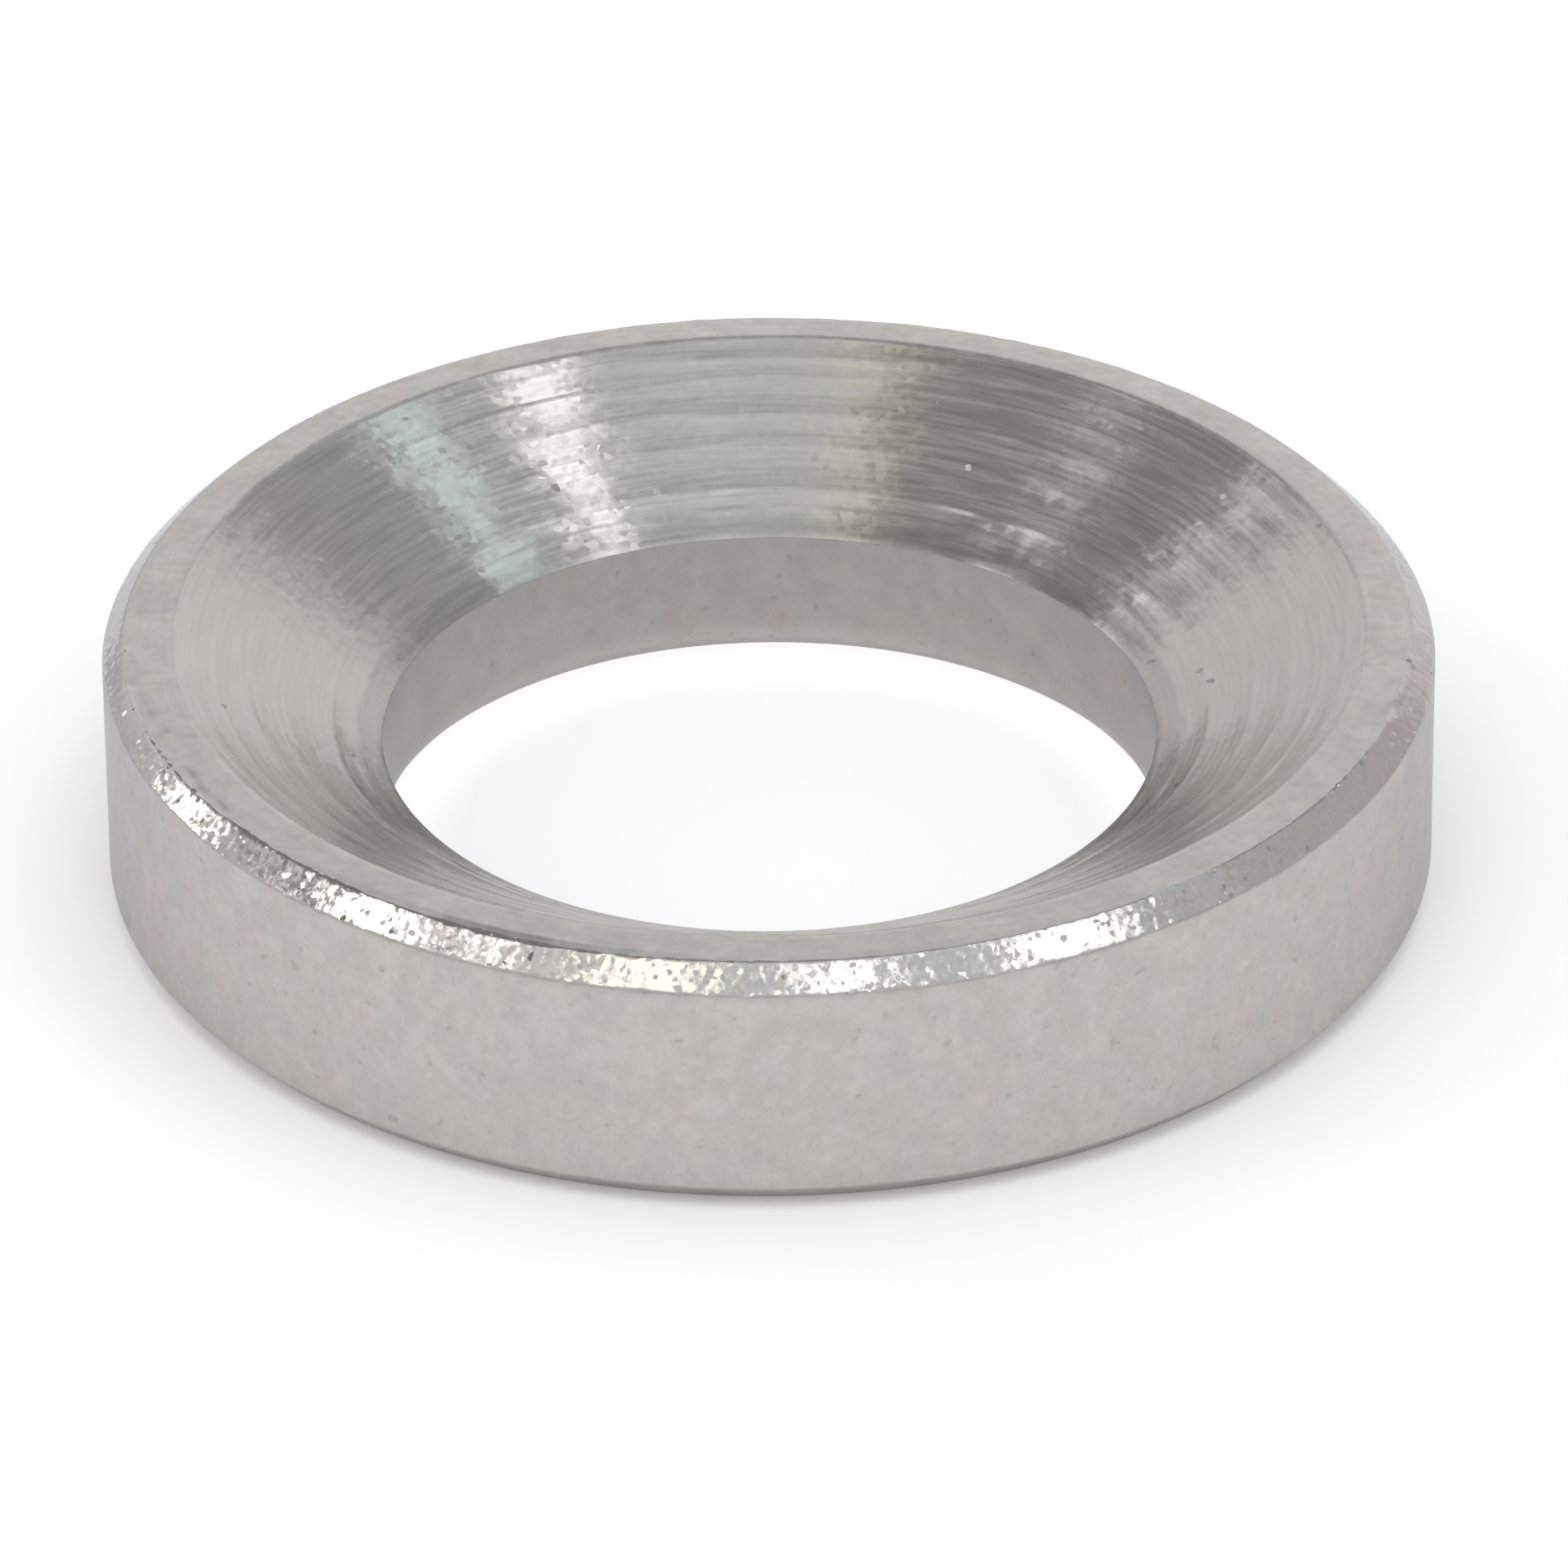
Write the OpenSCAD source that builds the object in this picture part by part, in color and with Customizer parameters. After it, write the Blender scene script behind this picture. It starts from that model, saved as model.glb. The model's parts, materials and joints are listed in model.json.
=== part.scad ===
// Conical seat of a spherical washer pair, for an M10 stud or screw.
// One turned steel ring: a flat foot, a plain bore, and a conical dish on top
// in which the convex washer of the pair rocks to take up a slant.
// The ring stands on its flat foot at z = 0, and its axis is the z axis.

/* [Ring] */
// Outside diameter of the ring
outer_d = 21; // [18:0.1:30]
// Height from the foot to the top land
thickness = 4.2; // [3.2:0.1:8]

/* [Bore] */
// Diameter of the through bore
bore_d = 12.25; // [8:0.05:16]
// Radius of the rounded lower edge of the bore
bore_round = 0.7; // [0.1:0.05:2]

/* [Conical seat] */
// Included angle of the conical dish, in degrees
cone_angle = 120; // [95:1:150]
// Width of the flat land around the mouth of the dish
land_w = 0.64; // [0.2:0.02:2]

/* [Edges] */
// Chamfer of the upper outside edge
top_chamfer = 0.39; // [0.1:0.01:1]
// Chamfer of the lower outside edge
foot_chamfer = 0.35; // [0.1:0.01:1]

/* [Hidden] */
$fn = 180;
steel = [0.72, 0.70, 0.68];

outer_r = outer_d / 2;
bore_r = bore_d / 2;
// Radius of the mouth of the dish, where the cone meets the land
mouth_r = outer_r - top_chamfer - land_w;
// Depth of the dish, from the land down to the bore
dish_depth = (mouth_r - bore_r) / tan(cone_angle / 2);
// Overlap of a cutting shape past the face that it cuts
over = 0.1;

// Half section of the ring, with its lower bore edge still sharp
module sharp_section() {
    polygon([
        [bore_r, 0],
        [outer_r - foot_chamfer, 0],
        [outer_r, foot_chamfer],
        [outer_r, thickness - top_chamfer],
        [outer_r - top_chamfer, thickness],
        [mouth_r, thickness],
        [bore_r, thickness - dish_depth]
    ]);
}

// What the round takes away at the lower bore edge
module bore_edge_waste() {
    difference() {
        translate([bore_r - over, -over]) square(bore_round + over);
        translate([bore_r + bore_round, bore_round]) circle(bore_round);
    }
}

module conical_seat() {
    color(steel)
        rotate_extrude()
            difference() {
                sharp_section();
                bore_edge_waste();
            }
}

conical_seat();
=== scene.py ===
"""Looks of the conical seat: a turned steel ring with a flat foot, a plain bore and a conical dish.

The ring is one lathe mesh that replaces the plain solid. Its section is the solid's own, with the worn
edge breaks, tool marks, dents and nicks of the real surface added on top. All lengths are in metres.
"""
import json
import math

import bpy
import numpy as np
from mathutils import Matrix, Vector


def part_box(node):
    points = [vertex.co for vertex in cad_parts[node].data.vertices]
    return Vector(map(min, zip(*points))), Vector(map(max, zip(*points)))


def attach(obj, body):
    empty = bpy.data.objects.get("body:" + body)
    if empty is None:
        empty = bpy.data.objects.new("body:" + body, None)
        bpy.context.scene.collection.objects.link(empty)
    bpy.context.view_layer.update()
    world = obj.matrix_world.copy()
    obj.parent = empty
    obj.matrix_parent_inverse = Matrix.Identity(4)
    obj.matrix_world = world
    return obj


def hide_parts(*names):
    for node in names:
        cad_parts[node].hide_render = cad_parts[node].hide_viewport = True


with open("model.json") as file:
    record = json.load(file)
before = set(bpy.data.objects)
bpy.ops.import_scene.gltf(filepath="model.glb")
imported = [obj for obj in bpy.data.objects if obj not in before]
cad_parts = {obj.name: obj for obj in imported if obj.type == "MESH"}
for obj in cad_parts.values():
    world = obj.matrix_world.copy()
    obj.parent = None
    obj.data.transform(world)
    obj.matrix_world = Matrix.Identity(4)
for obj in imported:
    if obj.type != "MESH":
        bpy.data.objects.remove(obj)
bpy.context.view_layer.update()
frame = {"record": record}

NODE = "conical_seat"
MM = 0.001
MICRON = 1e-6
SEED = 6319

# Sizes of the ring: the outside ones come from the solid, the bore from its mount
node_low, node_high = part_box(NODE)
OUTER_R = node_high.x
THICKNESS = node_high.z
BORE_R = next(m for m in frame["record"]["mounts"] if m["name"] == "bore")["dims"]["r_mm"] * MM
CONE_SLOPE = math.radians(30)
LAND_W = 0.64 * MM
TOP_CHAMFER = 0.39 * MM
FOOT_CHAMFER = 0.35 * MM
BORE_ROUND = 0.7 * MM
MOUTH_R = OUTER_R - TOP_CHAMFER - LAND_W
DISH_FLOOR_Z = THICKNESS - (MOUTH_R - BORE_R) * math.tan(CONE_SLOPE)

# Zones of the surface. The lip is the land's outer strip, with a mesh as fine as the rim chamfer's
FOOT, WALL, RIM, LIP, LAND, CONE, BORE = range(7)
LIP_SHARE = 0.25
LIP_W = 0.17 * MM
LIP_SAG = 12 * MICRON
CROWN = 25 * MICRON
MOUTH_WORN = 0.045 * MM
OUTWARD = {
    FOOT: (0, -1),
    WALL: (1, 0),
    RIM: (math.sqrt(0.5), math.sqrt(0.5)),
    LIP: (0, 1),
    LAND: (0, 1),
    CONE: (-math.sin(CONE_SLOPE), math.cos(CONE_SLOPE)),
    BORE: (-1, 0),
}

# Steps of the mesh around the axis
COARSE = 384
FINE = 1920
STEPS = {zone: FINE if zone in (RIM, LIP) else COARSE for zone in OUTWARD}

# Corners of the half section, from the bore's foot outwards and round:
# radius, height, mean rounding, ragged share of the rounding, rows on the arc, zone of the arc
CORNERS = [
    (BORE_R, 0.0, BORE_ROUND, 0.0, 7, BORE),
    (OUTER_R - FOOT_CHAMFER, 0.0, 0.06 * MM, 0.0, 2, FOOT),
    (OUTER_R, FOOT_CHAMFER, 0.08 * MM, 0.2, 2, WALL),
    (OUTER_R, THICKNESS - CROWN - TOP_CHAMFER, 0.05 * MM, 0.9, 1, WALL),
    (OUTER_R - TOP_CHAMFER, THICKNESS - CROWN - LIP_SAG, 0.12 * MM, 0.85, 3, RIM),
    (OUTER_R - TOP_CHAMFER - LIP_W, THICKNESS - CROWN, 0.9 * MM, 0.3, 2, LIP),
    (MOUTH_R - MOUTH_WORN, THICKNESS, 0.2 * MM, 0.25, 4, LAND),
    (BORE_R, DISH_FLOOR_Z, 0.009 * MM, 0.9, 2, BORE),
]
LOW_EDGE, HIGH_EDGE, FLOOR_EDGE = 3, 4, 7
SHARP_EDGES = (FLOOR_EDGE,)
# Straight lines between the corners: rows, and zone
LINES = [(4, FOOT), (3, FOOT), (7, WALL), (12, RIM), (3, LIP), (8, LAND), (88, CONE), (7, BORE)]
EVEN_ZONES = (RIM, CONE)
# Extra rows beside the sharp edges, as shares of the line
EDGE_ROWS = {CONE: [0.997], BORE: [0.006]}


def ring_noise(seed, cells, rows=0):
    """Smooth noise from -1 to 1 that closes round the ring, with cells around it and rows across it."""
    grid = np.random.default_rng(SEED + seed).uniform(-1, 1, (rows + 2, cells))

    def value(angles, place=0.0):
        u = angles / (2 * math.pi) * cells
        v = np.clip(place, 0, 1) * rows
        u0 = np.floor(u).astype(int)
        v0 = np.floor(v).astype(int)
        fu = u - u0
        fv = v - v0
        fu = fu * fu * (3 - 2 * fu)
        fv = fv * fv * (3 - 2 * fv)
        here = grid[v0, u0 % cells] * (1 - fu) + grid[v0, (u0 + 1) % cells] * fu
        above = grid[v0 + 1, u0 % cells] * (1 - fu) + grid[v0 + 1, (u0 + 1) % cells] * fu
        return here * (1 - fv) + above * fv

    return value


def arc_weights(before, point, after, rows):
    """Points of a rounded corner, counted from the sharp corner and in multiples of the rounding."""
    a = np.subtract(before, point)
    b = np.subtract(after, point)
    a = a / np.linalg.norm(a)
    b = b / np.linalg.norm(b)
    half = math.acos(a @ b) / 2
    centre = (a + b) / np.linalg.norm(a + b) / math.sin(half)
    start = a / math.tan(half) - centre
    end = b / math.tan(half) - centre
    first = math.atan2(start[1], start[0])
    turn = (math.atan2(end[1], end[0]) - first + math.pi) % (2 * math.pi) - math.pi
    turns = [first + turn * k / rows for k in range(rows + 1)]
    return [centre + np.array([math.cos(t), math.sin(t)]) for t in turns]


def section():
    """Rows of the half section, as (zone, terms). A term is (share, corner, weight of its rounding)."""
    count = len(CORNERS)
    arcs = []
    for i, corner in enumerate(CORNERS):
        before = CORNERS[i - 1][:2]
        after = CORNERS[(i + 1) % count][:2]
        arcs.append(arc_weights(before, corner[:2], after, corner[4]))
    rows = []
    for i, (line_rows, line_zone) in enumerate(LINES):
        j = (i + 1) % count
        for weight in arcs[i][:-1]:
            rows.append((CORNERS[i][5], [(1.0, i, weight)]))
        shares = [k / line_rows for k in range(line_rows)]
        if line_zone not in EVEN_ZONES:
            shares = [0.5 - 0.5 * math.cos(math.pi * share) for share in shares]
        for share in sorted(shares + EDGE_ROWS.get(line_zone, [])):
            zone = LIP if line_zone == LAND and share < LIP_SHARE else line_zone
            rows.append((zone, [(1 - share, i, arcs[i][-1]), (share, j, arcs[j][0])]))
    return rows


# Ragged edges: cells of the coarse and the fine noise round the ring, and the weight of each
COARSE_CELLS, COARSE_WEIGHT = 190, 0.6
FINE_CELLS, FINE_WEIGHT = 520, 0.5
# The rim chamfer's upper edge is crisper at the front right, by this share. Places on the ring are
# the middle and the width of a swell, in degrees
CRISP_SHARE = 0.65
CRISP_PLACE = (305, 32)


def rounding(corner, angles):
    """Rounding of one corner all round the ring."""
    mean, ragged = CORNERS[corner][2:4]
    coarse = COARSE_WEIGHT * ring_noise(100 + corner, COARSE_CELLS)(angles)
    fine = FINE_WEIGHT * ring_noise(200 + corner, FINE_CELLS)(angles)
    crisp = CRISP_SHARE * swell(angles, *CRISP_PLACE) if corner == HIGH_EDGE else 0.0
    return mean * (1 - crisp) * (1 + ragged * (coarse + fine))


def swell(angles, middle, width):
    """One smooth swell from 0 to 1 round the ring, its place and width in degrees."""
    gap = (angles - math.radians(middle) + math.pi) % (2 * math.pi) - math.pi
    return np.exp(-((gap / math.radians(width)) ** 2))


# The rim chamfer is narrower at the left, and its upper edge sags at the front left
CHAMFER_SHORT = 0.08 * MM
SHORT_PLACE = (190, 22)
SAG_DEEP = 20 * MICRON
SAG_PLACE = (246, 11)
SAG_UNEVEN = 8 * MICRON
SAG_CELLS = 30


def edge_shift(corner, angles):
    """How far the rim chamfer's two edges stray from the true ring, in radius and in height."""
    short = CHAMFER_SHORT * swell(angles, *SHORT_PLACE)
    if corner == LOW_EDGE:
        return 0.0, short
    if corner == HIGH_EDGE:
        uneven = SAG_UNEVEN * ring_noise(500, SAG_CELLS)(angles)
        return short, -(SAG_DEEP * swell(angles, *SAG_PLACE) + uneven)
    return 0.0, 0.0


# Passes of the tool down the cone: width in mm, and lean from the true cone in degrees
PASSES = [(0.40, 0.4), (0.43, -0.6), (0.64, 0.3), (0.60, -0.4), (0.90, 0.6), (0.31, -2.2), (0.58, 0.8)]
PASS_WIDTH = np.array([p[0] for p in PASSES]) * MM
PASS_LEAN = np.tan(np.radians([p[1] for p in PASSES]))
PASS_START = np.cumsum(PASS_WIDTH) - PASS_WIDTH
PASS_WANDER = 0.025 * MM
PASS_SWING = math.tan(math.radians(3.5))
GROOVE_HALF = 0.05 * MM
GROOVE_DEPTH = 4 * MICRON
RIPPLE = 4.5 * MICRON
CHATTER = 1.8 * MICRON
FEED_PITCH = 0.17 * MM
FEED_DEPTH = 0.4 * MICRON
FEED_SWAY = 1.7
FEED_SWAY_LENGTH = 0.37 * MM
MARK_FADE = 0.12 * MM
GROOVE_MEAN, GROOVE_VARIES = 0.65, 0.5
# Cells of noise round the ring
WANDER_CELLS, GROOVE_CELLS, RIPPLE_CELLS, CHATTER_CELLS = 9, 40, 64, 150

# Dents in the cone: angle from the back and distance down the slope, then size in mm and depth in microns
CONE_DENTS = [
    (37.7, 2.38, 0.20, 13),
    (38.4, 3.34, 0.20, 13),
    (60.6, 2.32, 0.14, 5),
    (60.8, 3.20, 0.15, 6),
    (-5.5, 0.72, 0.14, 6),
]


def cone_dents(distance, angles):
    """Height of the dents in the cone."""
    height = np.zeros(np.broadcast(distance, angles).shape)
    for back, place, size, depth in CONE_DENTS:
        gap = (angles - math.radians(90 - back) + math.pi) % (2 * math.pi) - math.pi
        along = gap * (MOUTH_R - place * MM * math.cos(CONE_SLOPE))
        across = distance - place * MM
        height = height - depth * MICRON * np.exp(-(along**2 + across**2) / (size * MM) ** 2)
    return height


def cone_marks(distance, angles):
    """Height of the tool marks and dents, from the distance down the slope."""
    s = distance + PASS_WANDER * ring_noise(1, WANDER_CELLS)(angles)
    number = np.clip(np.searchsorted(PASS_START, s, side="right") - 1, 0, len(PASSES) - 1)
    width = PASS_WIDTH[number]
    t = (s - PASS_START[number]) / width
    share = number / len(PASSES)
    lean = PASS_LEAN[number] * (t - 0.5) * width
    hollow = PASS_SWING * width / 4 * (2 * t - 1) ** 2
    edge = np.minimum(t, 1 - t) * width
    broken = GROOVE_MEAN + GROOVE_VARIES * ring_noise(2, GROOVE_CELLS, len(PASSES))(angles, share)
    groove = -GROOVE_DEPTH * broken * np.exp(-(edge / GROOVE_HALF) ** 2)
    ripple = RIPPLE * ring_noise(3, RIPPLE_CELLS, len(PASSES))(angles, share)
    chatter_place = (number + 0.5 * t) / len(PASSES)
    chatter = CHATTER * ring_noise(4, CHATTER_CELLS, 3 * len(PASSES))(angles, chatter_place)
    sway = FEED_SWAY * np.sin(s / FEED_SWAY_LENGTH)
    feed = FEED_DEPTH * np.sin(2 * math.pi * s / FEED_PITCH + sway)
    slant = (MOUTH_R - BORE_R) / math.cos(CONE_SLOPE)
    ends = np.clip(np.minimum(distance, slant - distance) / MARK_FADE, 0, 1)
    return ends * (lean + hollow + groove + ripple + chatter + feed) + cone_dents(distance, angles)


# How far a dent reaches, in multiples of its size
DENT_REACH = 2.5


def scattered(seed, count, distances, angles, reach, radius, sizes, depths):
    """Heights of round dents (or lumps, where the depth is negative) scattered over a band of the ring."""
    rng = np.random.default_rng(SEED + seed)
    height = np.zeros((len(distances), len(angles)))
    step = angles[1] - angles[0]
    for _ in range(count):
        angle = rng.uniform(0, 2 * math.pi)
        place = rng.uniform(*reach)
        size = rng.uniform(*sizes)
        depth = rng.uniform(*depths)
        window = int(DENT_REACH * size / (radius * step)) + 1
        middle = int(angle / step)
        columns = np.arange(middle - window, middle + window + 1)
        along = (columns * step - angle) * radius
        across = distances - place
        fall = np.exp(-(across[:, None] ** 2 + along[None, :] ** 2) / size**2)
        height[:, columns % len(angles)] -= depth * fall
    return height


# Grain of the rim chamfer: how many marks of each kind, their sizes and depths, and where the chips lie
WAVE_HEIGHT = 1.8 * MICRON
WAVE_CELLS = (150, 3)
LUMPS, DENTS, CHIPS = 4200, 500, 300
LUMP_SIZES = (0.045 * MM, 0.085 * MM)
LUMP_DEPTHS = (-2.0 * MICRON, 2.0 * MICRON)
DENT_SIZES = (0.035 * MM, 0.07 * MM)
DENT_DEPTHS = (2 * MICRON, 5 * MICRON)
CHIP_SIZES = (0.025 * MM, 0.06 * MM)
CHIP_DEPTHS = (2 * MICRON, 6 * MICRON)
LOW_CHIP_W = 0.03 * MM
HIGH_CHIP_W = 0.05 * MM
GRAIN_FADE = 0.05 * MM


def rim_grain(distance, angles):
    """Height of the burnished rim chamfer: slow waves, lumps, deeper dents, and chips at both edges."""
    across = distance[:, 0]
    around = angles[0]
    reach = (0, TOP_CHAMFER * math.sqrt(2))
    low_edge = (0, LOW_CHIP_W)
    high_edge = (reach[1] - HIGH_CHIP_W, reach[1])
    waves = WAVE_HEIGHT * ring_noise(11, *WAVE_CELLS)(angles, distance / reach[1])
    lumps = scattered(12, LUMPS, across, around, reach, OUTER_R, LUMP_SIZES, LUMP_DEPTHS)
    dents = scattered(13, DENTS, across, around, reach, OUTER_R, DENT_SIZES, DENT_DEPTHS)
    low_chips = scattered(14, CHIPS, across, around, low_edge, OUTER_R, CHIP_SIZES, CHIP_DEPTHS)
    high_chips = scattered(15, CHIPS, across, around, high_edge, OUTER_R, CHIP_SIZES, CHIP_DEPTHS)
    fade = np.clip(np.minimum(distance, reach[1] - distance) / GRAIN_FADE, 0, 1)
    return fade * (waves + lumps + dents) + low_chips + high_chips


# Nicks in the land's outer edge: angle round the ring and turn from the tangent in degrees,
# then radius, length, width in mm and depth in microns
NICKS = [
    (-170.5, 10, 10.12, 0.18, 0.09, 28),
    (-167.6, 5, 10.09, 0.32, 0.10, 30),
    (-164.8, 10, 10.05, 0.28, 0.11, 32),
    (-161.5, 40, 9.86, 0.26, 0.08, 26),
    (-153.3, 10, 10.01, 0.22, 0.09, 28),
    (-150.7, 5, 10.07, 0.25, 0.08, 26),
    (-147.2, 5, 10.06, 0.25, 0.08, 26),
    (177.3, 10, 9.95, 0.22, 0.09, 22),
    (-12.5, 5, 9.93, 0.25, 0.09, 24),
    (-16, 10, 10.08, 0.28, 0.08, 24),
    (-102, 40, 10.04, 0.08, 0.04, 9),
    (-38, 20, 10.05, 0.1, 0.04, 10),
    (12, 30, 10.02, 0.12, 0.045, 12),
    (47, 15, 10.05, 0.14, 0.05, 14),
    (118, 50, 10.03, 0.1, 0.045, 11),
    (151, 10, 10.05, 0.13, 0.04, 12),
]


def lip_nicks(radius, angles):
    """Height of the small nicks in the land's outer strip."""
    height = np.zeros(np.broadcast(radius, angles).shape)
    for angle, turn, place, length, width, depth in NICKS:
        gap = (angles - math.radians(angle) + math.pi) % (2 * math.pi) - math.pi
        along = gap * OUTER_R
        across = radius - place * MM
        turn = math.radians(turn)
        u = along * math.cos(turn) + across * math.sin(turn)
        v = across * math.cos(turn) - along * math.sin(turn)
        height = height - depth * MICRON * np.exp(-(u / (length * MM)) ** 2 - (v / (width * MM)) ** 2)
    return height


def marks(zone, radius, angles):
    """Height of the marks over the plain surface of a zone."""
    if zone == CONE:
        return cone_marks((MOUTH_R - radius) / math.cos(CONE_SLOPE), angles)
    if zone == RIM:
        return rim_grain((OUTER_R - radius) * math.sqrt(2), angles)
    return 0 * radius


def zone_points(zone, rows):
    """Points of all rows of a zone, row by row."""
    steps = STEPS[zone]
    angles = np.arange(steps) * 2 * math.pi / steps
    roundings = [rounding(corner, angles) for corner in range(len(CORNERS))]
    shifts = [edge_shift(corner, angles) for corner in range(len(CORNERS))]
    radius = np.zeros((len(rows), steps))
    height = np.zeros((len(rows), steps))
    for i, terms in enumerate(rows):
        for share, corner, weight in terms:
            radius[i] += share * (CORNERS[corner][0] + shifts[corner][0] + roundings[corner] * weight[0])
            height[i] += share * (CORNERS[corner][1] + shifts[corner][1] + roundings[corner] * weight[1])
    plain_radius = radius.mean(axis=1, keepdims=True)
    on_line = np.array([[1.0 if len(terms) == 2 else 0.0] for terms in rows])
    raised = on_line * marks(zone, plain_radius, angles[None, :])
    if zone in (RIM, LIP):
        raised = raised + lip_nicks(radius, angles[None, :])
    radius += raised * OUTWARD[zone][0]
    height += raised * OUTWARD[zone][1]
    return np.stack([radius * np.cos(angles), radius * np.sin(angles), height], 2)


def joined(first, second):
    """Faces between two rows, each (start, steps): quads, or fans where one row is finer."""
    (a, na), (b, nb) = first, second
    if na == nb:
        return [(a + k, a + (k + 1) % na, b + (k + 1) % nb, b + k) for k in range(na)]
    faces = []
    fine, coarse = (a, b) if na > nb else (b, a)
    fine_steps, coarse_steps = max(na, nb), min(na, nb)
    ratio = fine_steps // coarse_steps
    half = ratio // 2
    for k in range(coarse_steps):
        here = coarse + k
        there = coarse + (k + 1) % coarse_steps
        arc = [fine + (k * ratio + q) % fine_steps for q in range(ratio + 1)]
        fan = [(arc[q], arc[q + 1], here if q < half else there) for q in range(ratio)]
        fan.append((here, arc[half], there))
        faces += fan if na > nb else [face[::-1] for face in fan]
    return faces


def mark_sharp(mesh, rows, starts):
    """Marks the ring of edges at the start of each sharp corner, so that shading breaks there."""
    sharp_vertex = np.zeros(len(mesh.vertices), bool)
    for i, (_, terms) in enumerate(rows):
        first = len(terms) == 1 and len(rows[i - 1][1]) == 2
        if first and terms[0][1] in SHARP_EDGES:
            start, steps = starts[i]
            sharp_vertex[start : start + steps] = True
    ends = np.zeros(2 * len(mesh.edges), int)
    mesh.edges.foreach_get("vertices", ends)
    mesh.edges.foreach_set("use_edge_sharp", sharp_vertex[ends.reshape(-1, 2)].all(axis=1))


def lathe(name):
    """The ring as one closed mesh: rows of points turned round the axis."""
    rows = section()
    points = {}
    for zone in OUTWARD:
        points[zone] = iter(zone_points(zone, [terms for z, terms in rows if z == zone]))
    starts = []
    vertices = []
    total = 0
    for zone, _ in rows:
        starts.append((total, STEPS[zone]))
        vertices.append(next(points[zone]))
        total += STEPS[zone]
    faces = []
    zones = []
    for i, (zone, _) in enumerate(rows):
        strip = joined(starts[i], starts[(i + 1) % len(rows)])
        faces += strip
        zones += [zone] * len(strip)
    mesh = bpy.data.meshes.new(name)
    mesh.from_pydata(np.concatenate(vertices).tolist(), [], faces)
    mesh.polygons.foreach_set("material_index", zones)
    mesh.polygons.foreach_set("use_smooth", [True] * len(faces))
    mesh.update()
    mark_sharp(mesh, rows, starts)
    piece = bpy.data.objects.new(name, mesh)
    bpy.context.scene.collection.objects.link(piece)
    return piece


STEEL = (0.56, 0.537, 0.51)
# The wall's steel is STEEL made a little darker: painted shade, which dims the wall's mirror image of the
# floor
WALL_SHADED_STEEL = (0.535, 0.513, 0.487)
# The bore's steel is darker than STEEL: partly a duller drilled finish, partly painted shade for the
# shadowed floor the bore would mirror
DULL_SHADED_STEEL = (0.389, 0.375, 0.357)
EDGE_TINT = (0.77, 0.77, 0.80, 1)
# Spans of noise that a ramp takes in: of one noise, of slow noise, and of a sum of two
NOISE_SPAN = (0.3, 0.7)
SLOW_SPAN = (0.35, 0.65)
SUM_SPAN = (0.5, 1.1)


def new_material(name):
    material = bpy.data.materials.new(name)
    material.use_nodes = True
    nodes = material.node_tree.nodes
    shader = nodes["Principled BSDF"]
    shader.inputs["Metallic"].default_value = 1.0
    return material, nodes, material.node_tree.links, shader


def math_node(nodes, links, operation, first, second=None):
    node = nodes.new("ShaderNodeMath")
    node.operation = operation
    for socket, value in zip(node.inputs, (first, second)):
        if isinstance(value, bpy.types.NodeSocket):
            links.new(value, socket)
        elif value is not None:
            socket.default_value = value
    return node.outputs["Value"]


def object_place(nodes):
    return nodes.new("ShaderNodeTexCoord").outputs["Object"]


def turned_place(nodes, links, around, across):
    """Coordinates that follow the turning: cells in a radian round the axis, cells in a metre across."""
    parts = nodes.new("ShaderNodeSeparateXYZ")
    links.new(object_place(nodes), parts.inputs["Vector"])
    x, y, z = (parts.outputs[axis] for axis in "XYZ")
    x_square = math_node(nodes, links, "MULTIPLY", x, x)
    y_square = math_node(nodes, links, "MULTIPLY", y, y)
    square = math_node(nodes, links, "ADD", x_square, y_square)
    radius = math_node(nodes, links, "SQRT", square)
    place = nodes.new("ShaderNodeCombineXYZ")
    for axis, value in (("X", x), ("Y", y)):
        share = math_node(nodes, links, "DIVIDE", value, radius)
        links.new(math_node(nodes, links, "MULTIPLY", share, around), place.inputs[axis])
    level = math_node(nodes, links, "ADD", radius, z)
    links.new(math_node(nodes, links, "MULTIPLY", level, across), place.inputs["Z"])
    return place.outputs["Vector"]


def noise_node(nodes, links, vector, scale, detail):
    node = nodes.new("ShaderNodeTexNoise")
    node.inputs["Scale"].default_value = scale
    node.inputs["Detail"].default_value = detail
    links.new(vector, node.inputs["Vector"])
    return node.outputs["Fac"]


def ramp(nodes, links, value, low, high, to_low, to_high, smooth=False):
    node = nodes.new("ShaderNodeMapRange")
    if smooth:
        node.interpolation_type = "SMOOTHSTEP"
    node.inputs["From Min"].default_value = low
    node.inputs["From Max"].default_value = high
    for name, goal in (("To Min", to_low), ("To Max", to_high)):
        if isinstance(goal, bpy.types.NodeSocket):
            links.new(goal, node.inputs[name])
        else:
            node.inputs[name].default_value = goal
    links.new(value, node.inputs["Value"])
    return node.outputs["Result"]


def tinted(nodes, links, shader, colour, factor):
    """Base colour times a factor that varies over the surface."""
    node = nodes.new("ShaderNodeMix")
    node.data_type = "RGBA"
    node.blend_type = "MULTIPLY"
    node.inputs["Factor"].default_value = 1.0
    if isinstance(colour, bpy.types.NodeSocket):
        links.new(colour, node.inputs["A"])
    else:
        node.inputs["A"].default_value = (*colour, 1)
    links.new(factor, node.inputs["B"])
    links.new(node.outputs["Result"], shader.inputs["Base Color"])


WARM_TONE = (1.013, 0.997, 0.993)
COOL_TONE = (0.987, 1.0, 1.003)


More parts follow.
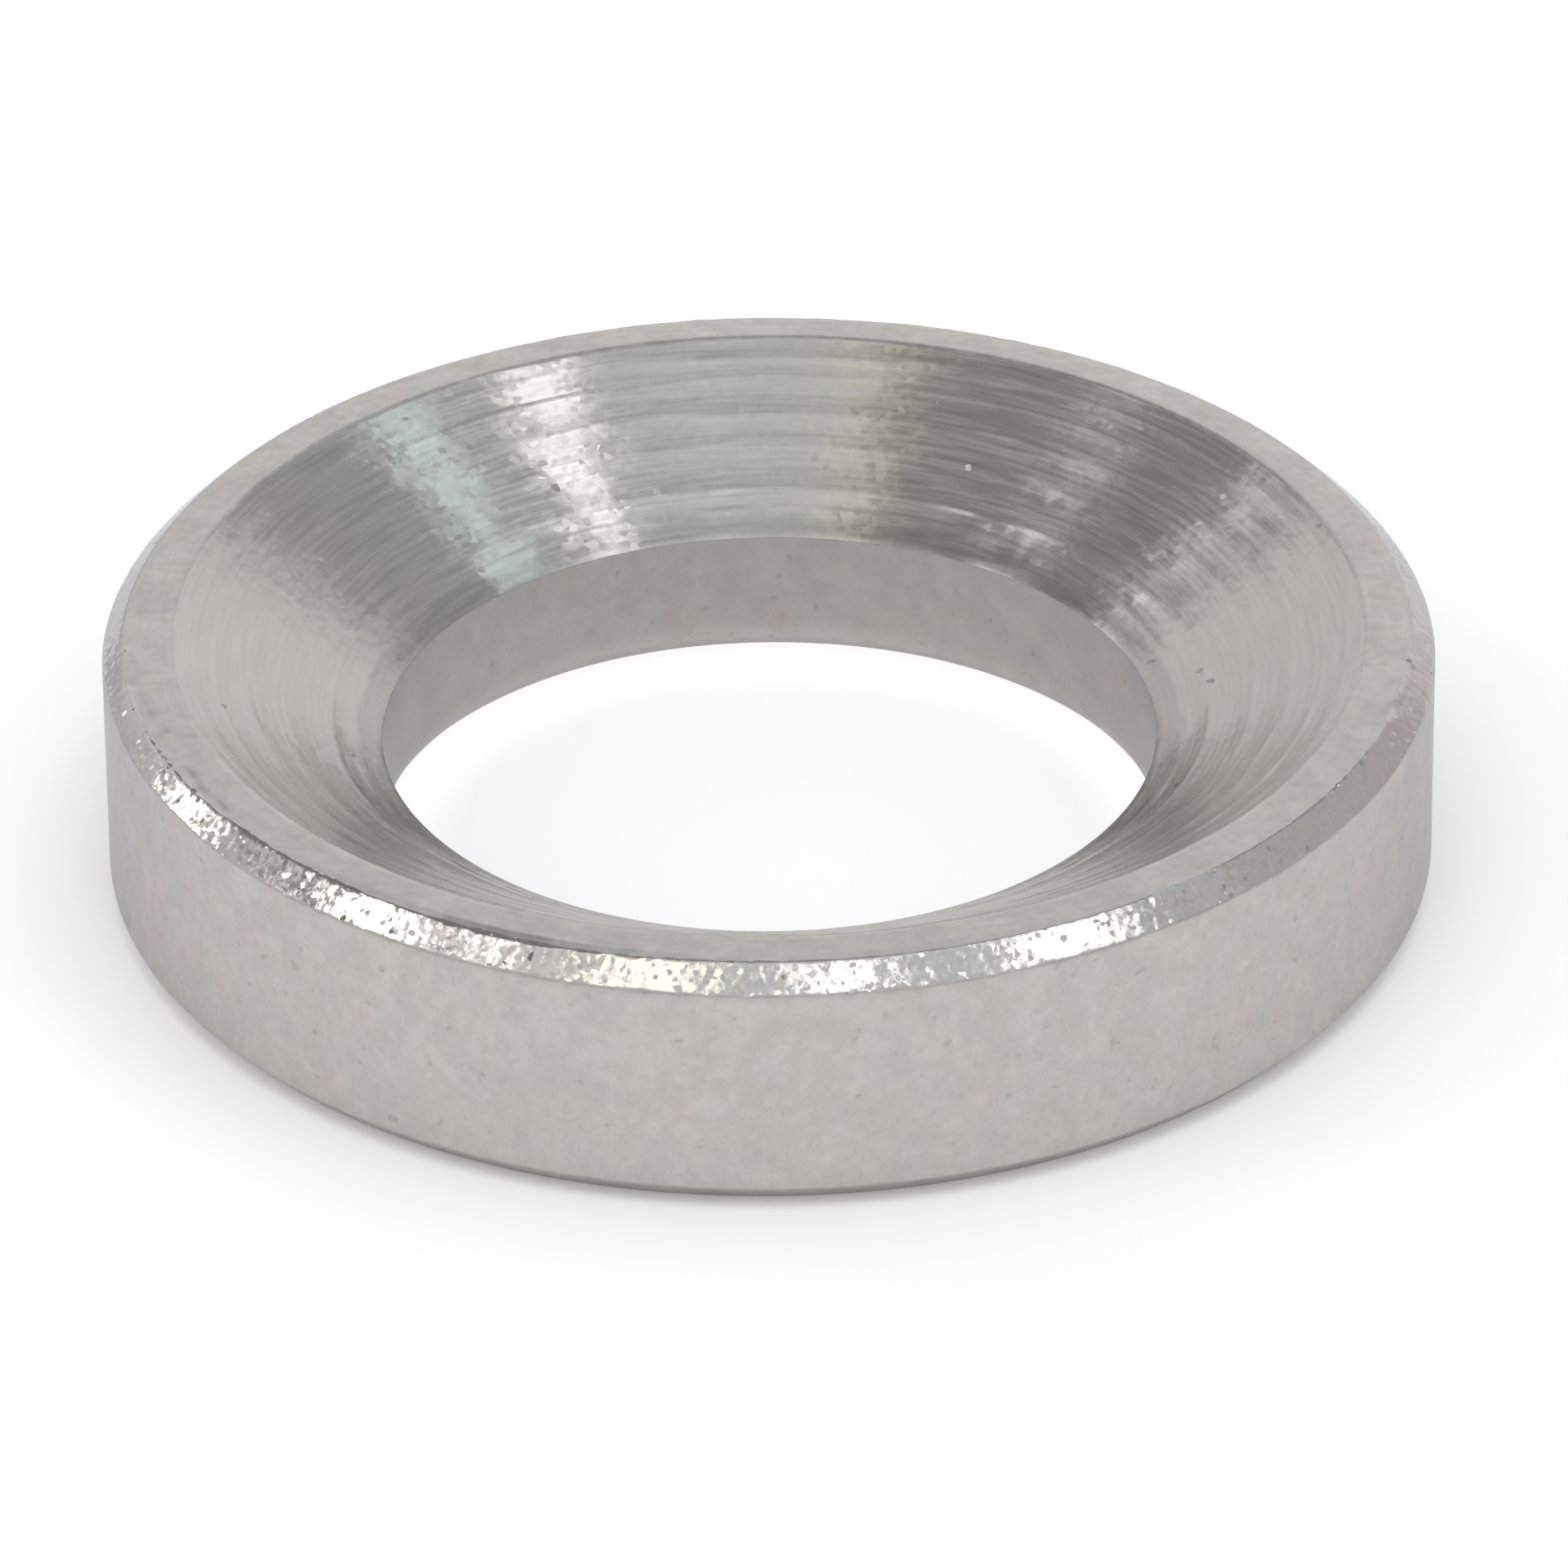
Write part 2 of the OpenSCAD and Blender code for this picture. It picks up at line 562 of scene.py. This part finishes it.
def toned(nodes, links, colour, scale):
    """A colour that turns a little warmer and cooler over the surface."""
    node = nodes.new("ShaderNodeMix")
    node.data_type = "RGBA"
    slow = noise_node(nodes, links, object_place(nodes), scale, 3)
    links.new(ramp(nodes, links, slow, *SLOW_SPAN, 0.0, 1.0, True), node.inputs["Factor"])
    node.inputs["A"].default_value = (*(c * t for c, t in zip(colour, COOL_TONE)), 1)
    node.inputs["B"].default_value = (*(c * t for c, t in zip(colour, WARM_TONE)), 1)
    return node.outputs["Result"]


def bumped(nodes, links, shader, height, distance):
    node = nodes.new("ShaderNodeBump")
    node.inputs["Distance"].default_value = distance
    links.new(height, node.inputs["Height"])
    links.new(node.outputs["Normal"], shader.inputs["Normal"])
    return node.outputs["Normal"]


def vector_math(nodes, links, operation, first, second=None):
    node = nodes.new("ShaderNodeVectorMath")
    node.operation = operation
    for socket, value in zip(node.inputs, (first, second)):
        if isinstance(value, bpy.types.NodeSocket):
            links.new(value, socket)
        elif value is not None:
            socket.default_value = value
    return node


LONE_TILT = 0.5


def faceted(nodes, links, shader, normal, scale, tilt, rare_share, rare_tilt, lone_share):
    """Small flat facets on the surface: each has its own slight tilt, and a few have a large one."""
    cells = nodes.new("ShaderNodeTexVoronoi")
    cells.inputs["Scale"].default_value = scale
    links.new(object_place(nodes), cells.inputs["Vector"])
    chance = nodes.new("ShaderNodeTexWhiteNoise")
    links.new(cells.outputs["Position"], chance.inputs["Vector"])
    rare = math_node(nodes, links, "LESS_THAN", chance.outputs["Value"], rare_share)
    lone = math_node(nodes, links, "GREATER_THAN", chance.outputs["Value"], 1 - lone_share)
    size = ramp(nodes, links, lone, 0, 1, ramp(nodes, links, rare, 0, 1, tilt, rare_tilt), LONE_TILT)
    lean = vector_math(nodes, links, "SUBTRACT", cells.outputs["Color"], (0.5, 0.5, 0.5))
    lean = vector_math(nodes, links, "SCALE", lean.outputs["Vector"])
    links.new(size, lean.inputs["Scale"])
    leaning = vector_math(nodes, links, "ADD", normal, lean.outputs["Vector"])
    facing = vector_math(nodes, links, "NORMALIZE", leaning.outputs["Vector"])
    links.new(facing.outputs["Vector"], shader.inputs["Normal"])


# Matte steel: cells in a metre of each noise, weight of the specks, and shade of the pits
SPECK_SCALE = 15000
SPECK_WEIGHT = 0.6
PIT_SCALE = 4200
PIT_SPAN = (0.68, 0.80)
PIT_SHADE = 0.82
GRAINY_SLOW_SCALE = 1700
GRAINY_SLOW_SHADES = (0.97, 1.03)
GRAINY_TONE_SCALE = 1100
ROUGHNESS_VARIES = 0.05


def grainy_steel(name, roughness, mottle, bump_depth, blotch_scale=5200, colour=STEEL):
    """Matte steel with a fine speckle: wall, bore and foot."""
    material, nodes, links, shader = new_material(name)
    place = object_place(nodes)
    blotch = noise_node(nodes, links, place, blotch_scale, 4)
    speck = noise_node(nodes, links, place, SPECK_SCALE, 2)
    both = math_node(nodes, links, "ADD", blotch, math_node(nodes, links, "MULTIPLY", speck, SPECK_WEIGHT))
    uneven = ramp(nodes, links, both, *SUM_SPAN, 1 - mottle, 1 + mottle)
    pits = noise_node(nodes, links, place, PIT_SCALE, 1)
    pits = ramp(nodes, links, pits, *PIT_SPAN, 1.0, PIT_SHADE, True)
    slow = noise_node(nodes, links, place, GRAINY_SLOW_SCALE, 2)
    slow = ramp(nodes, links, slow, *SLOW_SPAN, *GRAINY_SLOW_SHADES)
    uneven = math_node(nodes, links, "MULTIPLY", uneven, slow)
    uneven = math_node(nodes, links, "MULTIPLY", uneven, pits)
    tinted(nodes, links, shader, toned(nodes, links, colour, GRAINY_TONE_SCALE), uneven)
    low, high = roughness - ROUGHNESS_VARIES, roughness + ROUGHNESS_VARIES
    links.new(ramp(nodes, links, both, *SUM_SPAN, low, high), shader.inputs["Roughness"])
    shader.inputs["Specular Tint"].default_value = EDGE_TINT
    bumped(nodes, links, shader, speck, bump_depth)
    return material


# Turning lines are given as cells in a radian round the axis and cells in a metre across
LAND_LINES = (9, 7500)
LAND_LINE_WEIGHT = 0.6
LAND_SPECK_SCALE = 5000
LAND_SLOW_SCALE = 1500
LAND_SLOW_SHADES = (0.95, 1.05)
LAND_SHADES = (0.86, 1.14)
LAND_TONE_SCALE = 1000
LAND_ROUGHNESS = (0.30, 0.40)
LAND_BUMP = 2.0 * MICRON


def land_steel(name):
    """Land between the rim and the dish: matte, with faint turning lines."""
    material, nodes, links, shader = new_material(name)
    lines = noise_node(nodes, links, turned_place(nodes, links, *LAND_LINES), 1, 3)
    lines = math_node(nodes, links, "MULTIPLY", lines, LAND_LINE_WEIGHT)
    speck = noise_node(nodes, links, object_place(nodes), LAND_SPECK_SCALE, 4)
    both = math_node(nodes, links, "ADD", lines, speck)
    slow = noise_node(nodes, links, object_place(nodes), LAND_SLOW_SCALE, 2)
    slow = ramp(nodes, links, slow, *SLOW_SPAN, *LAND_SLOW_SHADES)
    uneven = ramp(nodes, links, both, *SUM_SPAN, *LAND_SHADES)
    uneven = math_node(nodes, links, "MULTIPLY", uneven, slow)
    tinted(nodes, links, shader, toned(nodes, links, STEEL, LAND_TONE_SCALE), uneven)
    links.new(ramp(nodes, links, both, *SUM_SPAN, *LAND_ROUGHNESS), shader.inputs["Roughness"])
    bumped(nodes, links, shader, both, LAND_BUMP)
    return material


CONE_LINES = (7, 9000)
CONE_PATCH_SCALE = 1500
CONE_SHADES = (0.93, 1.07)
CONE_ROUGHNESS = (0.20, 0.29)
CONE_BUMP = 1.5 * MICRON
# Facets: cells in a metre, usual tilt, share and tilt of the rare ones, share of the lone ones
CONE_FACETS = (8500, 0.03, 0.03, 0.08, 0.001)
# Darker band above the dish's lower edge: how ragged it is, its heights above that edge, and its shade
DARK_BAND_RAGGED = 0.20 * MM
DARK_BAND_LOW = DISH_FLOOR_Z + 0.08 * MM
DARK_BAND_HIGH = DISH_FLOOR_Z + 0.15 * MM
DARK_BAND_SHADE = 0.86


def turned_steel(name):
    """Cone of the dish: turned steel whose rings stretch each light into a streak along the slope."""
    material, nodes, links, shader = new_material(name)
    strands = noise_node(nodes, links, turned_place(nodes, links, *CONE_LINES), 1, 3)
    patches = noise_node(nodes, links, object_place(nodes), CONE_PATCH_SCALE, 3)
    height = nodes.new("ShaderNodeSeparateXYZ")
    links.new(object_place(nodes), height.inputs["Vector"])
    ragged = math_node(nodes, links, "MULTIPLY", patches, DARK_BAND_RAGGED)
    level = math_node(nodes, links, "SUBTRACT", height.outputs["Z"], ragged)
    band = ramp(nodes, links, level, DARK_BAND_LOW, DARK_BAND_HIGH, DARK_BAND_SHADE, 1.0, True)
    streaky = ramp(nodes, links, strands, *NOISE_SPAN, *CONE_SHADES)
    tinted(nodes, links, shader, STEEL, math_node(nodes, links, "MULTIPLY", streaky, band))
    links.new(ramp(nodes, links, strands, *NOISE_SPAN, *CONE_ROUGHNESS), shader.inputs["Roughness"])
    shader.inputs["Anisotropic"].default_value = 0.8
    shader.inputs["Anisotropic Rotation"].default_value = 0.25
    tangent = nodes.new("ShaderNodeTangent")
    tangent.direction_type = "RADIAL"
    tangent.axis = "Z"
    links.new(tangent.outputs["Tangent"], shader.inputs["Tangent"])
    normal = bumped(nodes, links, shader, strands, CONE_BUMP)
    faceted(nodes, links, shader, normal, *CONE_FACETS)
    return material


RIM_BLOTCH_SCALE = 9000
RIM_PIT_SCALE = 17000
RIM_SHADES = (0.95, 1.05)
RIM_ROUGHNESS = (0.09, 0.18)
RIM_BUMP = 1.2 * MICRON
RIM_FACETS = (12500, 0.05, 0.09, 0.28, 0.02)


def bright_steel(name):
    """Rim chamfer: burnished and bright, with fine pits and small facets."""
    material, nodes, links, shader = new_material(name)
    place = object_place(nodes)
    blotch = noise_node(nodes, links, place, RIM_BLOTCH_SCALE, 3)
    pits = noise_node(nodes, links, place, RIM_PIT_SCALE, 2)
    tinted(nodes, links, shader, STEEL, ramp(nodes, links, blotch, *NOISE_SPAN, *RIM_SHADES))
    links.new(ramp(nodes, links, blotch, *NOISE_SPAN, *RIM_ROUGHNESS), shader.inputs["Roughness"])
    shader.inputs["Specular Tint"].default_value = EDGE_TINT
    normal = bumped(nodes, links, shader, pits, RIM_BUMP)
    faceted(nodes, links, shader, normal, *RIM_FACETS)
    return material


ring = lathe("turned_ring")
SURFACES = {
    FOOT: grainy_steel("foot_steel", roughness=0.45, mottle=0.05, bump_depth=3 * MICRON),
    # The wall's colour carries painted shade
    WALL: grainy_steel("wall_steel", roughness=0.4, mottle=0.09, bump_depth=3 * MICRON, colour=WALL_SHADED_STEEL),
    RIM: bright_steel("rim_steel"),
    LIP: land_steel("lip_steel"),
    LAND: land_steel("land_steel"),
    CONE: turned_steel("cone_steel"),
    # The bore's colour carries painted shade as well as a duller finish
    BORE: grainy_steel(
        "bore_steel",
        roughness=0.4,
        mottle=0.08,
        bump_depth=4 * MICRON,
        blotch_scale=3200,
        colour=DULL_SHADED_STEEL,
    ),
}
for zone in OUTWARD:
    ring.data.materials.append(SURFACES[zone])
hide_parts(NODE)
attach(ring, "root")

# Camera, at the photo's viewing angle: its place, its lens and the small turns of its aim
CAMERA_DISTANCE = 200.9 * MM
CAMERA_ELEVATION = math.radians(31.119)
CAMERA_YAW = math.radians(0.0638)
CAMERA_PITCH = math.radians(-0.3076)
CAMERA_ROLL = math.radians(-0.5595)
FOCAL_PX = 15546
IMAGE_PX = 1932
SENSOR = 36


def make_camera():
    data = bpy.data.cameras.new("camera")
    data.sensor_width = SENSOR
    data.lens = FOCAL_PX / IMAGE_PX * SENSOR
    data.clip_start = 0.01
    data.clip_end = 100
    camera = bpy.data.objects.new("camera", data)
    bpy.context.scene.collection.objects.link(camera)
    back = Vector((0, -math.cos(CAMERA_ELEVATION), math.sin(CAMERA_ELEVATION)))
    aim = back.to_track_quat("Z", "Y").to_matrix()
    turn = Matrix.Rotation(-CAMERA_YAW, 3, "Y") @ Matrix.Rotation(-CAMERA_PITCH, 3, "X")
    turn = turn @ Matrix.Rotation(CAMERA_ROLL, 3, "Z")
    camera.matrix_world = Matrix.Translation(back * CAMERA_DISTANCE) @ (aim @ turn).to_4x4()
    bpy.context.scene.camera = camera
    return back


# Strip lamps, each (side, tilt, width, length, radiance, tint), with angles in degrees. Side and tilt are
# of the surface that mirrors the lamp into the camera: side from the front, tilt of its normal from upright
WHITE = (1.0, 1.0, 1.0)
CYAN = (0.80, 1.0, 1.0)
YELLOW = (1.0, 0.97, 0.84)
DEEP_YELLOW = (1.0, 0.92, 0.35)
LAMPS = [
    (27, 45, 16, 18, 1.25, WHITE),
    (6.3, 45, 10, 18, 1.3, WHITE),
    (-11, 45, 13, 18, 1.25, YELLOW),
    (-37, 45, 13, 18, 2.4, WHITE),
    (-61, 45, 8.5, 18, 2.6, WHITE),
    (24.0, 30, 4.5, 10, 3.7, WHITE),
    (39.5, 29.5, 6, 10, 1.7, CYAN),
    (-11.5, 30, 7, 12, 0.30, DEEP_YELLOW),
    (-38.5, 34, 6, 4, 2.2, WHITE),
    (-60.5, 31, 1.5, 10, 2.2, WHITE),
    (-25.7, 44, 3, 18, 1.9, WHITE),
    (41, 45, 11, 18, 0.1, WHITE),
    (-47.5, 45, 1.2, 18, 2.2, WHITE),
]
LAMP_DISTANCE = 2.5


def mirrored(view, side, tilt):
    """Direction that a surface with this side and tilt mirrors into the view."""
    normal = Vector((math.sin(tilt) * math.sin(side), -math.sin(tilt) * math.cos(side), math.cos(tilt)))
    return (2 * view.dot(normal) * normal - view).normalized()


def make_lamps(view):
    step = math.radians(1)
    for number, (side, tilt, width, length, radiance, tint) in enumerate(LAMPS):
        side, tilt = math.radians(side), math.radians(tilt)
        towards = mirrored(view, side, tilt)
        along = mirrored(view, side, tilt + step) - mirrored(view, side, tilt - step)
        along = (along - along.dot(towards) * towards).normalized()
        across = along.cross(towards)
        data = bpy.data.lights.new(f"strip_{number}", "AREA")
        data.shape = "RECTANGLE"
        data.size = 2 * LAMP_DISTANCE * math.tan(math.radians(width) / 2)
        data.size_y = 2 * LAMP_DISTANCE * math.tan(math.radians(length) / 2)
        data.energy = radiance * math.pi * data.size * data.size_y
        data.color = tint
        lamp = bpy.data.objects.new(f"strip_{number}", data)
        turn = Matrix((across, along, towards)).transposed()
        lamp.matrix_world = Matrix.Translation(towards * LAMP_DISTANCE) @ turn.to_4x4()
        bpy.context.scene.collection.objects.link(lamp)


# Soft overhead lamp that draws the shadow on the floor. The metal doesn't mirror it
OVERHEAD_HALF = math.radians(30)
OVERHEAD_RADIANCE = 1.17


def make_overhead():
    data = bpy.data.lights.new("overhead", "AREA")
    data.shape = "DISK"
    data.size = 2 * LAMP_DISTANCE * math.tan(OVERHEAD_HALF)
    data.energy = OVERHEAD_RADIANCE * math.pi * math.pi / 4 * data.size**2
    lamp = bpy.data.objects.new("overhead", data)
    lamp.location = (0, 0, LAMP_DISTANCE)
    lamp.visible_glossy = False
    bpy.context.scene.collection.objects.link(lamp)


# Light tent: a bright back wall, a bright ceiling towards the front, and a dark gap between them
TENT_BACK = 0.93
TENT_BACK_LEFT = 0.79
TENT_BACK_RIGHT = 0.91
TENT_FRONT = 0.6
TENT_FRONT_TOP = 0.82
TENT_LEFT = 0.93
TENT_FAR_LEFT = 0.70
TENT_RIGHT = 0.61
GAP_LEFT = 0.29
GAP_MIDDLE = 0.42
GAP_RIGHT = 0.44
HORIZON_LEFT = 0.82
HORIZON_RIGHT = 0.92
COOL = (0.95, 1.0, 1.03, 1)


# Edges of the tent's parts, each a span of x, y or z of the direction that is looked in
FAR_LEFT_EDGE = (-0.78, -0.6)
RIGHT_EDGE = (0.45, 0.75)
FRONT_RISE = (0.3, 0.6)
FRONT_EDGE = (-0.45, -0.15)
BACK_LEFT_EDGE = (-0.5, 0.0)
BACK_RIGHT_EDGE = (0.1, 0.5)
BACK_END = (0.64, 0.80)
BACK_EDGE = (0.62, 0.82)
GAP_LEFT_EDGE = (-0.28, -0.05)
GAP_RIGHT_EDGE = (0.05, 0.3)
GAP_END = (0.62, 0.78)
GAP_FORWARD_EDGE = (-0.3, -0.1)
GAP_FORWARD = 0.25
GAP_FRONT = (0.0, 0.15)
TOP_LEFT_EDGE = (-0.45, -0.1)
TOP_RIGHT_EDGE = (0.1, 0.45)
TOP_SIDES, TOP_MIDDLE = 0.50, 0.70
TOP_BLEND = (0.0, 0.1)
HORIZON_EDGE = (-0.3, 0.3)
HORIZON_RISE = (0.0, 0.25)
COOL_EDGE = (-0.3, 0.0)
COOL_RISE = (0.58, 0.68)


def tent_around(nodes, links, x, y, z):
    """Strength of the tent's front and sides."""
    left = ramp(nodes, links, x, *FAR_LEFT_EDGE, TENT_FAR_LEFT, TENT_LEFT, True)
    sides = ramp(nodes, links, x, *RIGHT_EDGE, left, TENT_RIGHT, True)
    front = ramp(nodes, links, z, *FRONT_RISE, TENT_FRONT, TENT_FRONT_TOP, True)
    return ramp(nodes, links, y, *FRONT_EDGE, front, sides, True)


def tent_back(nodes, links, x):
    """Strength of the tent's back wall."""
    back = ramp(nodes, links, x, *BACK_LEFT_EDGE, TENT_BACK_LEFT, TENT_BACK, True)
    back = ramp(nodes, links, x, *BACK_RIGHT_EDGE, back, TENT_BACK_RIGHT, True)
    return ramp(nodes, links, x, *BACK_END, back, TENT_RIGHT, True)


def tent_ceiling(nodes, links, x, y, around):
    """Strength overhead: the dark gap, further forward at the left, and the front before it."""
    gap = ramp(nodes, links, x, *GAP_LEFT_EDGE, GAP_LEFT, GAP_MIDDLE, True)
    gap = ramp(nodes, links, x, *GAP_RIGHT_EDGE, gap, GAP_RIGHT, True)
    gap = ramp(nodes, links, x, *GAP_END, gap, TENT_RIGHT, True)
    forward = ramp(nodes, links, x, *GAP_FORWARD_EDGE, GAP_FORWARD, 0.0, True)
    place = math_node(nodes, links, "ADD", y, forward)
    return ramp(nodes, links, place, *GAP_FRONT, around, gap, True)


def above_walls(nodes, links, x, z):
    """Height above the top of the walls, which is highest in the middle."""
    left = ramp(nodes, links, x, *TOP_LEFT_EDGE, TOP_SIDES, TOP_MIDDLE, True)
    right = ramp(nodes, links, x, *TOP_RIGHT_EDGE, TOP_MIDDLE, TOP_SIDES, True)
    return math_node(nodes, links, "SUBTRACT", z, math_node(nodes, links, "MINIMUM", left, right))


def tent_tint(nodes, links, x, z):
    """Colour of the tent: white, and a little cooler overhead in the middle and at the right."""
    cool = nodes.new("ShaderNodeMix")
    cool.data_type = "RGBA"
    right = ramp(nodes, links, x, *COOL_EDGE, 0.0, 1.0, True)
    links.new(ramp(nodes, links, z, *COOL_RISE, 0.0, right, True), cool.inputs["Factor"])
    cool.inputs["A"].default_value = (1, 1, 1, 1)
    cool.inputs["B"].default_value = COOL
    return cool.outputs["Result"]


def make_world():
    world = bpy.data.worlds.new("tent")
    bpy.context.scene.world = world
    world.use_nodes = True
    nodes = world.node_tree.nodes
    links = world.node_tree.links
    background = nodes["Background"]
    parts = nodes.new("ShaderNodeSeparateXYZ")
    links.new(nodes.new("ShaderNodeTexCoord").outputs["Generated"], parts.inputs["Vector"])
    x, y, z = (parts.outputs[axis] for axis in "XYZ")
    around = tent_around(nodes, links, x, y, z)
    walls = ramp(nodes, links, y, *BACK_EDGE, around, tent_back(nodes, links, x), True)
    ceiling = tent_ceiling(nodes, links, x, y, around)
    tent = ramp(nodes, links, above_walls(nodes, links, x, z), *TOP_BLEND, walls, ceiling, True)
    horizon = ramp(nodes, links, x, *HORIZON_EDGE, HORIZON_LEFT, HORIZON_RIGHT, True)
    dim = ramp(nodes, links, z, *HORIZON_RISE, horizon, 1.0, True)
    links.new(math_node(nodes, links, "MULTIPLY", tent, dim), background.inputs["Strength"])
    links.new(tent_tint(nodes, links, x, z), background.inputs["Color"])


FLOOR_SIZE = 8.0
FLOOR_Z = -10 * MICRON
FLOOR_GREY = (0.97, 0.97, 0.97)
FIBRE_SCALE = 60
FIBRE_SHADES = (0.995, 1.0)
# Where the floor is seen, its colour is this share of the paper's, and a glow is added. The glow grows in
# the hole and at the hole's edge, over these distances from the axis, and ends under the foot. This extra
# glow is painted light that takes the ring's shadow off the floor in the hole
FLOOR_SEEN = 0.85
FLOOR_GLOW = 0.14
HOLE_PAINTED_LIGHT = 0.25
EDGE_PAINTED_LIGHT = 0.85
HOLE_SPAN = (0.5 * BORE_R, 1.1 * BORE_R)
EDGE_SPAN = (0.8 * BORE_R, 1.19 * BORE_R)
FOOT_SPAN = (1.19 * BORE_R, 1.3 * BORE_R)


def floor_glow_and_painted_light(nodes, links):
    """Glow of the floor, by the distance from the ring's axis: even outside, and in the hole and at its
    edge painted light that lifts the ring's shadow.
    """
    distance = vector_math(nodes, links, "LENGTH", object_place(nodes)).outputs["Value"]
    glow = ramp(nodes, links, distance, *HOLE_SPAN, FLOOR_GLOW, HOLE_PAINTED_LIGHT, True)
    glow = ramp(nodes, links, distance, *EDGE_SPAN, glow, EDGE_PAINTED_LIGHT, True)
    return ramp(nodes, links, distance, *FOOT_SPAN, glow, FLOOR_GLOW)


def floor_paper(name):
    """White paper. Where the camera and the metal see it, a glow makes up for the light it lacks, and in
    the hole it is painted light that lifts the ring's shadow.
    """
    material = bpy.data.materials.new(name)
    material.use_nodes = True
    nodes = material.node_tree.nodes
    links = material.node_tree.links
    paper = nodes["Principled BSDF"]
    paper.inputs["Roughness"].default_value = 0.9
    paper.inputs["Specular IOR Level"].default_value = 0.1
    paper.inputs["Emission Color"].default_value = (1, 1, 1, 1)
    path = nodes.new("ShaderNodeLightPath").outputs
    seen = math_node(nodes, links, "MAXIMUM", path["Is Camera Ray"], path["Is Glossy Ray"])
    seen = math_node(nodes, links, "MAXIMUM", seen, path["Is Transmission Ray"])
    fibre = noise_node(nodes, links, object_place(nodes), FIBRE_SCALE, 2)
    fibre = ramp(nodes, links, fibre, *NOISE_SPAN, *FIBRE_SHADES)
    share = ramp(nodes, links, seen, 0.0, 1.0, 1.0, FLOOR_SEEN)
    tinted(nodes, links, paper, FLOOR_GREY, math_node(nodes, links, "MULTIPLY", fibre, share))
    glow = math_node(nodes, links, "MULTIPLY", seen, floor_glow_and_painted_light(nodes, links))
    links.new(glow, paper.inputs["Emission Strength"])
    return material


def make_floor():
    mesh = bpy.data.meshes.new("floor")
    h = FLOOR_SIZE / 2
    corners = [(x, y, FLOOR_Z) for x, y in ((-h, -h), (h, -h), (h, h), (-h, h))]
    mesh.from_pydata(corners, [], [(0, 1, 2, 3)])
    floor = bpy.data.objects.new("floor", mesh)
    bpy.context.scene.collection.objects.link(floor)
    mesh.materials.append(floor_paper("floor_paper"))


view = make_camera()
make_lamps(view)
make_overhead()
make_world()
make_floor()
bpy.context.scene.view_settings.view_transform = "Standard"
